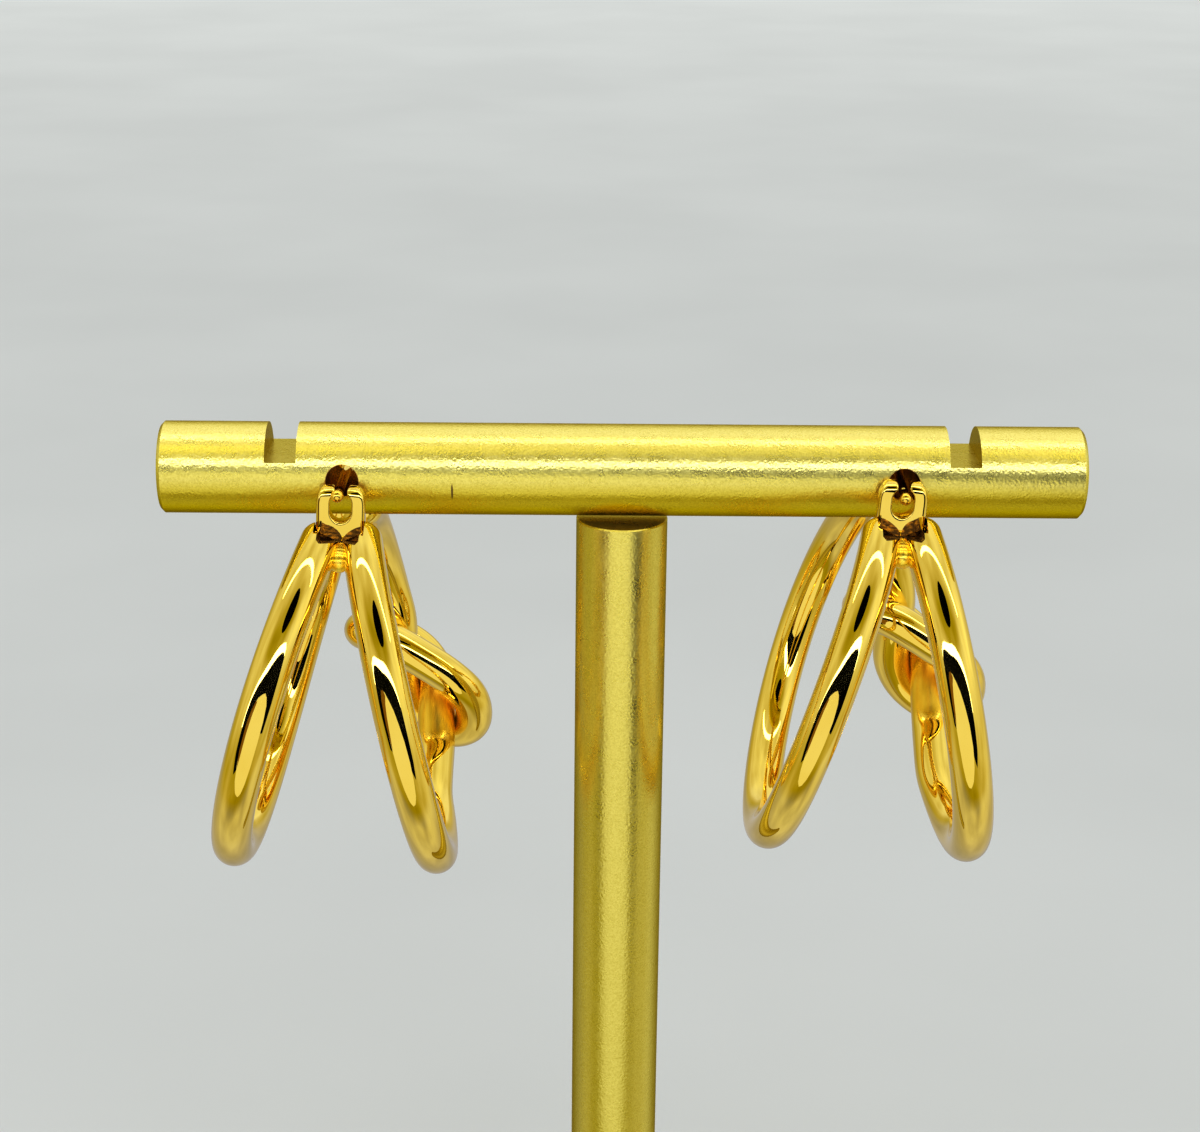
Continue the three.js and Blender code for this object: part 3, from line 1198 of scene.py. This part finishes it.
@dataclass
class DoubleHoop:
    """Two leaning hoops of tube, one with an overhand knot, soldered to a catch and a fork.

    Sizes are in mm and angles in radians. The knot's route is given by places across, outwards and up
    along the tube from the hoop's own line.
    """

    hanging: Hanging
    material: Finish
    solder: Finish
    recess_shade: Finish
    slot: str = "polished_gold"
    tube_radius: float = 1.75
    hoop_radius: float = 15.7
    drop: float = 18.95
    back: float = -0.5
    lean: float = math.radians(14.1)
    spacing: float = 0.5
    front_end: float = math.radians(-20.5)
    back_end: float = math.radians(20.5)
    plain: Hoop = Hoop(side=-1, twist=0.048, bow=0.66)
    knotted: Hoop = Hoop(side=1, twist=-0.069)
    knot_entry: float = math.radians(77.5)
    knot_middle: float = math.radians(111.5)
    knot_exit: float = math.radians(154)
    knot_route: Sequence[Place] = (
        (0.1, -1.3, 6.4), (-0.7, 0.4, 3.5), (-1.4, 2.5, 0.6), (-0.5, 4.2, -2.3), (1.9, 4.2, -4.6),
        (4.5, 2.1, -4.6), (5.2, -0.7, -2.3), (3.8, -2.8, 0.0), (1.6, -3.8, 2.2), (-1.0, -4.2, 4.5),
        (-3.3, -2.4, 5.8), (-3.3, 1.0, 6.2), (-1.1, 3.4, 5.4), (1.3, 3.8, 3.0), (2.1, 2.4, 0.0),
        (1.5, 0.9, -2.9), (1.0, 0.0, -6.0), (0.6, -2.0, -8.3),
    )
    catch: Catch = field(default_factory=Catch)
    pivot: Pivot = field(init=False)
    neck_radius: float = 0.93
    neck_taper: float = 0.10
    neck_curve: float = 2.5
    neck_steps: int = 60
    neck_start: float = math.radians(-24.7)
    neck_end: float = math.radians(-29.25)
    neck_set_back: float = 0.4
    knot_inside: float = 1.5
    knot_span: Pair = (8.5, 6.5)
    facing_span: Pair = (0.25, 0.75)
    knot_heart: Place = (7.8, 13.0, -26.2)
    heart_span: Pair = (3.7, 2.3)
    tip_span: Pair = (0.0, 0.4)
    tip_share: float = 0.6
    ripple: float = 0.009
    ripple_count: float = 3.0
    sides: int = 48
    point_spacing: float = 2.4
    spacing_along: float = 0.35
    softness: float = 0.8

    def __post_init__(self) -> None:
        """Makes the pivot, with this earring's turn of the post."""
        self.pivot = Pivot(self.material, self.hanging.post_rise, self.hanging.post_yaw)

    def point(self, hoop: Hoop, angle: float) -> np.ndarray:
        """Gives a point of a hoop's centre line.

        Args:
            hoop: The hoop.
            angle: Angle from the top towards the back, in radians.

        Returns:
            The point, in mm.
        """
        drop = self.drop - self.hoop_radius * math.cos(angle)
        back = self.hoop_radius * math.sin(angle)
        lean = hoop.side * (self.spacing + drop * math.sin(self.lean))
        bow = hoop.bow * (math.cos(angle) ** 2 - 0.5)
        return np.array([lean + hoop.twist * back + bow, self.back + back, -drop * math.cos(self.lean)])

    def round_line(self, hoop: Hoop, start: float, end: float) -> np.ndarray:
        """Gives evenly spaced points of a hoop's centre line, in mm, from one angle to another."""
        count = round(abs(end - start) * self.hoop_radius / self.point_spacing)
        return np.array([self.point(hoop, angle) for angle in np.linspace(start, end, count + 1)])

    def across(self) -> np.ndarray:
        """Gives the way across the plane of the knotted hoop."""
        return np.array([math.cos(self.lean), 0, math.sin(self.lean)])

    def knot_line(self) -> np.ndarray:
        """Gives the knot's points.

        Returns:
            The points in the earring's own frame, in mm.
        """
        middle = self.point(self.knotted, self.knot_middle)
        step = 1e-3
        up = self.point(self.knotted, self.knot_middle - step) - middle
        up /= np.linalg.norm(up)
        out = np.cross(up, self.across())
        return middle + np.array(self.knot_route) @ np.array([self.across(), out, up])

    def tube(self, points: np.ndarray, name: str) -> Piece:
        """Builds a tube along points.

        Args:
            points: The centre line's points, in mm.
            name: The object's name.

        Returns:
            The tube.
        """
        line = smooth_line(points, self.spacing_along, self.softness) * MM
        radii = np.full(len(line), self.tube_radius * MM)
        return swept(line, radii, self.sides).as_object(name, self.material)

    def neck(self) -> Piece:
        """Builds the rippled bar of solder that fills the fork of the tubes.

        Returns:
            The neck in the earring's own frame.
        """
        angles = np.linspace(self.neck_start, self.neck_end, self.neck_steps)
        line = np.array([(self.point(self.plain, a) + self.point(self.knotted, a)) / 2 for a in angles])
        inwards = np.array([[0, -math.sin(a), -math.cos(a)] for a in angles])
        line += inwards * self.neck_set_back
        share = np.linspace(0, 1, len(line))
        radii = self.neck_radius * (1 - self.neck_taper * (1 - share) ** self.neck_curve)
        radii *= 1 + self.ripple * np.sin(share * self.ripple_count * 2 * np.pi)
        return swept(line * MM, radii * MM, self.sides).as_object("neck", self.solder)

    def mark_unreached_and_shade(self, piece: Piece) -> None:
        """Marks the skin that faces the inside of the knot, which no polishing buff reaches and where shade
        is painted.

        Args:
            piece: The earring's body in its own frame.
        """
        middle = self.point(self.knotted, self.knot_middle) + self.knot_inside * self.across()
        places = vertex_rows(piece, "co") / MM
        inwards = middle - places
        reach = np.linalg.norm(inwards, axis=1)
        facing = (inwards * vertex_rows(piece, "normal")).sum(axis=1) / np.maximum(reach, 1e-6)
        inside = within(facing, self.facing_span) * within(reach, self.knot_span)
        depth = np.linalg.norm(places - self.knot_heart, axis=1)
        mark(piece, np.maximum(inside, within(depth, self.heart_span)))

    def mark_tip(self, post: Piece) -> None:
        """Marks the skin of the post's round tip, which is left as cast and gets the painted shade colour.

        Args:
            post: The ear post in its own frame.
        """
        ahead = self.pivot.groove_start - vertex_rows(post, "co")[:, 1] / MM
        mark(post, self.tip_share * within(ahead, self.tip_span))

    def build(self) -> None:
        """Builds the earring's body and its post, and hangs them on the bar."""
        low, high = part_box("crossbar")
        place = self.hanging.matrix((low.z + high.z) / 2)
        last = self.front_end + 2 * math.pi
        name = self.hanging.name
        piece = self.tube(self.round_line(self.plain, self.back_end, last), f"{name}_hoops")
        knotted = np.vstack([
            self.round_line(self.knotted, self.back_end, self.knot_entry),
            self.knot_line(),
            self.round_line(self.knotted, self.knot_exit, last),
        ])
        combine(piece, self.tube(knotted, "knotted"), Cut.JOIN)
        combine(piece, self.catch.hollow(self.catch.relief_outline, self.material), Cut.REMOVE)
        # the hollow's faces wear the painted recess shade
        combine(piece, self.catch.hollow(self.catch.pocket_outline, self.recess_shade), Cut.REMOVE)
        combine(piece, self.neck(), Cut.JOIN)
        combine(piece, self.catch.plate(self.material), Cut.JOIN)
        combine(piece, self.pivot.fork(), Cut.JOIN)
        drop_crumbs(piece)
        self.mark_unreached_and_shade(piece)
        piece.data.transform(place)
        smooth_by_angle(piece, degrees=35, flat_way=place.to_3x3() @ Vector((0, -1, 0)))
        put_in_place(piece, self.slot, f"{name}_double_hoop")
        post = self.pivot.post(f"{name}_post")
        self.mark_tip(post)
        post.data.transform(place)
        smooth_by_angle(post, degrees=35)
        put_in_place(post, self.slot, f"{name}_ear_post")


# --- Studio -------------------------------------------------------------------------------------


def unit(azimuth: float, elevation: float) -> Vector:
    """Gives a direction from its degrees of azimuth, from the front (-Y) towards +X, and of elevation."""
    a, e = math.radians(azimuth), math.radians(elevation)
    return Vector((math.sin(a) * math.cos(e), -math.cos(a) * math.cos(e), math.sin(e)))


@dataclass(frozen=True)
class Strip:
    """A straight light strip that faces the earrings, and may shine on one finish alone."""

    name: str
    centre: Place
    length: float
    width: float
    watts: float
    skew: float = 0.0
    colour: Colour = (1.0, 1.0, 1.0)
    shines_on: str = ""

    def hang(self) -> None:
        """Makes the strip's area light."""
        light = bpy.data.lights.new(self.name, "AREA")
        light.shape = "RECTANGLE"
        light.size = self.length
        light.size_y = self.width
        light.energy = self.watts
        light.color = self.colour
        lamp = in_scene(self.name, light)
        back = (Vector(self.centre) - Vector(EARRINGS_MIDDLE)).normalized()
        along = Matrix.Rotation(math.radians(self.skew), 3, "Z") @ Vector((1, 0, 0))
        across = back.cross(along).normalized()
        along = across.cross(back)
        turn = Matrix((along, across, back)).transposed().to_4x4()
        lamp.matrix_world = Matrix.Translation(self.centre) @ turn
        lamp.visible_camera = False
        if self.shines_on:
            lamp.light_linking.receiver_collection = lit_apart(self.shines_on)


@dataclass(frozen=True)
class Card:
    """A card bent round the earrings, given by the directions of its corners."""

    name: str
    colour: Colour
    distance: float
    outline: Pairs
    rings: int = 10

    def spot(self, azimuth: float, elevation: float) -> Place:
        """Gives the place of a point of the card from its direction, in degrees."""
        return tuple(Vector(EARRINGS_MIDDLE) + unit(azimuth, elevation) * self.distance)

    def stand(self) -> None:
        """Makes the card as a glowing or dark sheet that only glossy surfaces see."""
        rim = np.array(self.outline, dtype=float)
        middle = rim.mean(axis=0)
        count = len(rim)
        points = [self.spot(*middle)]
        for ring in range(1, self.rings + 1):
            points += [self.spot(*(middle + (corner - middle) * ring / self.rings)) for corner in rim]
        fan = [(0, 1 + i, 1 + (i + 1) % count) for i in range(count)]
        faces = fan + ring_faces(count, self.rings, start=1)
        sheet = NodeSheet(bpy.data.materials.new(self.name))
        glow = sheet.add("Emission", Color=self.colour)
        sheet.link(glow.outputs["Emission"], sheet.output.inputs["Surface"])
        piece = Solid(np.array(points), faces).as_object(self.name, sheet.owner)
        piece.visible_camera = False
        piece.visible_diffuse = False
        piece.visible_shadow = False
        piece.visible_transmission = False


def oval(middle: Pair, half_width: float, half_height: float, steps: int = 48) -> Pairs:
    """Gives the corners of an oval card by azimuth and elevation, in degrees like its middle and sizes."""
    turns = [2 * math.pi * i / steps for i in range(steps)]
    return [(middle[0] + half_width * math.cos(t), middle[1] + half_height * math.sin(t)) for t in turns]


@dataclass
class Studio:
    """The pale floor, the soft light and the camera, which is placed in mm and turned in degrees."""

    camera_place: Place = (-4.745, -203.944, 162.491)
    camera_yaw: float = 0.8057
    camera_pitch: float = 19.295
    camera_roll: float = 0.6429
    lens: float = 73.34
    sensor: float = 36.0
    clip: Pair = (0.005, 20.0)
    floor_size: float = 24.0
    floor_colour: Colour = (0.675, 0.687, 0.680)
    floor_roughness: float = 0.6
    mottle_size: float = 1 / 9
    mottle_span: Pair = (0.35, 0.65)
    mottle_gain: float = 1.04
    # painted light: the floor grows brighter further back
    far_span: Pair = (0.3, 1.3)
    painted_far_light_gain: float = 1.24
    room_colour: Colour = (0.88, 0.89, 0.88)
    right_gain: float = 0.12
    patch_size: float = 1 / 2.2
    unevenness: float = 0.35
    top_level: float = 2.0
    room_tones: Tones = (
        (0.0, (0.0, 0.0, 0.0)),
        (0.30, (0.30, 0.25, 0.00)),
        (0.40, (0.40, 0.35, 0.00)),
        (0.50, (0.50, 0.45, 0.04)),
        (0.60, (0.60, 0.55, 0.24)),
        (0.75, (0.75, 0.72, 0.55)),
        (0.90, (0.90, 0.92, 0.95)),
        (2.0, (2.0, 2.1, 2.2)),
    )
    pale_tones: Tones = ((0.0, (0.0, 0.0, 0.0)), (0.60, (0.60, 0.585, 0.60)), (2.0, (2.0, 2.1, 2.2)))
    pale_span: Pair = (math.radians(-60), math.radians(-72))
    pale_slope: float = math.radians(33)
    front_span: Pair = (-0.9, -0.1)
    back_span: Pair = (0.1, 0.9)
    front_levels: Pairs = (
        (-90, 0.70), (-73, 0.70), (-66, 0.52), (-62, 0.43), (-56, 0.42), (-45, 0.50), (-30, 0.56),
        (-15, 0.66), (0, 0.76), (15, 0.82), (22, 0.75), (30, 0.64), (37, 0.50), (45, 0.45), (60, 0.50),
        (75, 0.66), (90, 0.72),
    )
    side_levels: Pairs = (
        (-90, 0.70), (-60, 0.70), (-45, 0.73), (-30, 0.67), (-15, 0.66), (0, 0.80), (15, 0.90), (30, 0.89),
        (45, 0.84), (60, 0.84), (75, 0.80), (90, 0.72),
    )
    back_levels: Pairs = (
        (-90, 0.70), (-75, 0.68), (-60, 0.54), (-45, 0.52), (-30, 0.54), (-15, 0.56), (0, 0.61), (8, 0.68),
        (15, 0.86), (30, 0.88), (45, 0.88), (60, 0.95), (75, 0.82), (90, 0.72),
    )
    strips: tuple[Strip, ...] = (
        Strip("overhead_strip", centre=(0.05, 0.015, 0.60), length=1.30, width=0.045, watts=0.75, skew=-8),
        Strip("bar_front_fill", centre=(0.0, -0.092, 0.267), length=0.50, width=0.086, watts=0.105,
              colour=(1.0, 0.97, 0.50), shines_on="satin_gold"),
        Strip("bar_back_fill", centre=(0.0, 0.114, 0.238), length=0.50, width=0.16, watts=0.052,
              colour=(1.0, 0.97, 0.85), shines_on="satin_gold"),
    )
    cards: tuple[Card, ...] = (
        Card("dark_disc", grey(0.001), 0.245, oval((9, 60), 33, 14)),
        Card("dark_opening", grey(0.002), 0.262, (
            (-62, 5), (-56, 13), (-45, 19), (-30, 23.5), (-15, 26), (0, 28), (15, 27.5), (30, 24),
            (42, 18), (50, 10), (52, -5), (52, -18), (46, -30), (38, -28), (20, -20), (-20, -20),
            (-45, -26), (-56, -26), (-62, -12),
        )),
        Card("white_sheet", (0.95, 0.95, 0.93), 0.240, (
            (-44, 3), (-36, 9), (-24, 12), (-8, 11), (5, 8), (17, 1), (27, -8), (33, -20), (32, -33),
            (25, -45), (12, -53), (-5, -56), (-22, -54), (-36, -46), (-44, -34), (-47, -20), (-47, -8),
        )),
        Card("tan_card", (0.30, 0.17, 0.02), 0.236, (
            (-47, 0), (-41, 7), (-31, 11), (-24, 10), (-31, 3), (-36, -6), (-39, -16), (-44, -25),
            (-49, -14),
        )),
        Card("white_band", (3.4, 3.6, 5.5), 0.60, (
            (-64, 0), (-62, 10), (-54, 18), (-45, 23.5), (-30, 29), (-15, 33), (0, 35.5), (15, 35),
            (30, 31), (42, 25), (49, 17), (51, 8), (51, 0),
        )),
    )

    def build(self) -> None:
        """Builds the whole studio."""
        self.build_camera()
        self.build_floor()
        self.build_world()
        for strip in self.strips:
            strip.hang()
        for card in self.cards:
            card.stand()

    def build_camera(self) -> None:
        """Places the camera in front of the stand, a little above it."""
        lens = bpy.data.cameras.new("camera")
        lens.lens = self.lens
        lens.sensor_width = self.sensor
        lens.clip_start, lens.clip_end = self.clip
        camera = in_scene("camera", lens)
        place = tuple(value * MM for value in self.camera_place)
        camera.matrix_world = moved(
            place, ("Z", -self.camera_yaw), ("X", 90 - self.camera_pitch), ("Z", self.camera_roll)
        )
        bpy.context.scene.camera = camera

    def build_floor(self) -> None:
        """Lays a pale floor with a faint mottle and painted light that brightens it further back."""
        sheet = SurfaceSheet("pale_floor", Specular_IOR_Level=0.0)
        mottle = sheet.noise(sheet.place, self.mottle_size, Detail=3.0)
        near, painted_far_light = (
            sheet.fade(mottle, self.mottle_span, *(
                tuple(value * gain * mottling for value in self.floor_colour)
                for mottling in (1.0, self.mottle_gain)
            ))
            for gain in (1.0, self.painted_far_light_gain)
        )
        distance = sheet.share(sheet.axes(sheet.place)["Y"], self.far_span)
        finish = sheet.finished(sheet.mixed(distance, near, painted_far_light), self.floor_roughness)
        half = self.floor_size / 2
        corners = [(-half, -half, 0), (half, -half, 0), (half, half, 0), (-half, half, 0)]
        floor = Solid(np.array(corners), [(0, 1, 2, 3)]).as_object("floor", finish)
        floor.visible_glossy = False

    def build_world(self) -> None:
        """Fills the room with soft light, which metal sees as a room with darker and lighter parts."""
        sheet = NodeSheet(bpy.data.worlds.new("room"), "OutputWorld")
        way = sheet.add("TexCoord").outputs["Generated"]
        axes = sheet.axes(way)
        angle = sheet.math("ARCSINE", axes["Z"])
        height = sheet.share(angle, (-QUARTER, QUARTER))
        front, side, back = (
            sheet.ramp(height, [((degrees + 90) / 180, grey(level)) for degrees, level in levels])
            for levels in (self.front_levels, self.side_levels, self.back_levels)
        )
        depth = sheet.math("DIVIDE", axes["Y"], sheet.math("COSINE", angle))
        level = sheet.mixed(sheet.share(depth, self.front_span, "SMOOTHSTEP"), front, side)
        level = sheet.mixed(sheet.share(depth, self.back_span, "SMOOTHSTEP"), level, back)
        slope = sheet.math("ADD", sheet.math("MULTIPLY", axes["X"], self.right_gain), 1.0)
        patches = sheet.math("MULTIPLY", sheet.noise(way, self.patch_size, Detail=2.0), 2 * self.unevenness)
        uneven = sheet.math("ADD", patches, 1 - self.unevenness)
        level = sheet.math("MULTIPLY", level, slope)
        level = sheet.math("MULTIPLY", level, sheet.math("DIVIDE", uneven, self.top_level))
        warm, pale = (
            sheet.ramp(level, [(at / self.top_level, colour) for at, colour in tones])
            for tones in (self.room_tones, self.pale_tones)
        )
        rise = sheet.math("MULTIPLY", sheet.math("ADD", depth, 1.0), self.pale_slope)
        low = sheet.share(sheet.math("SUBTRACT", angle, rise), self.pale_span)
        glow = sheet.add("Background", Color=sheet.mixed(low, warm, pale))
        plain = sheet.add("Background", Color=self.room_colour)
        shiny = sheet.add("LightPath").outputs["Is Glossy Ray"]
        choose = sheet.add("MixShader", Fac=shiny)
        sheet.link(plain.outputs["Background"], choose.inputs[1])
        sheet.link(glow.outputs["Background"], choose.inputs[2])
        sheet.link(choose.outputs["Shader"], sheet.output.inputs["Surface"])
        bpy.context.scene.world = sheet.owner


# --- The whole ----------------------------------------------------------------------------------


HANGINGS = (
    Hanging("left", (-24.04, -0.1, -0.74), tip=-2.84, yaw=0.0, roll=2.04, post_rise=3.5, post_yaw=-1.5),
    Hanging("right", (23.96, 0.0, 0.32), tip=1.11, yaw=-0.48, roll=3.67, post_rise=6.5, post_yaw=0.9),
)


def main() -> None:
    """Builds the stand, the two earrings and the studio."""
    logging.basicConfig(level=logging.INFO, format="%(message)s")
    bpy.context.scene.view_settings.view_transform = "Standard"
    bpy.context.scene.view_settings.gamma = VIEW_GAMMA
    Studio().build()
    Stand(SatinGold().material()).build()
    golds = [finish.material() for finish in (PolishedGold(), SOLDER_GOLD, RECESS_SHADE_GOLD)]
    for hanging in HANGINGS:
        DoubleHoop(hanging, *golds).build()


if __name__ == "__main__":
    main()
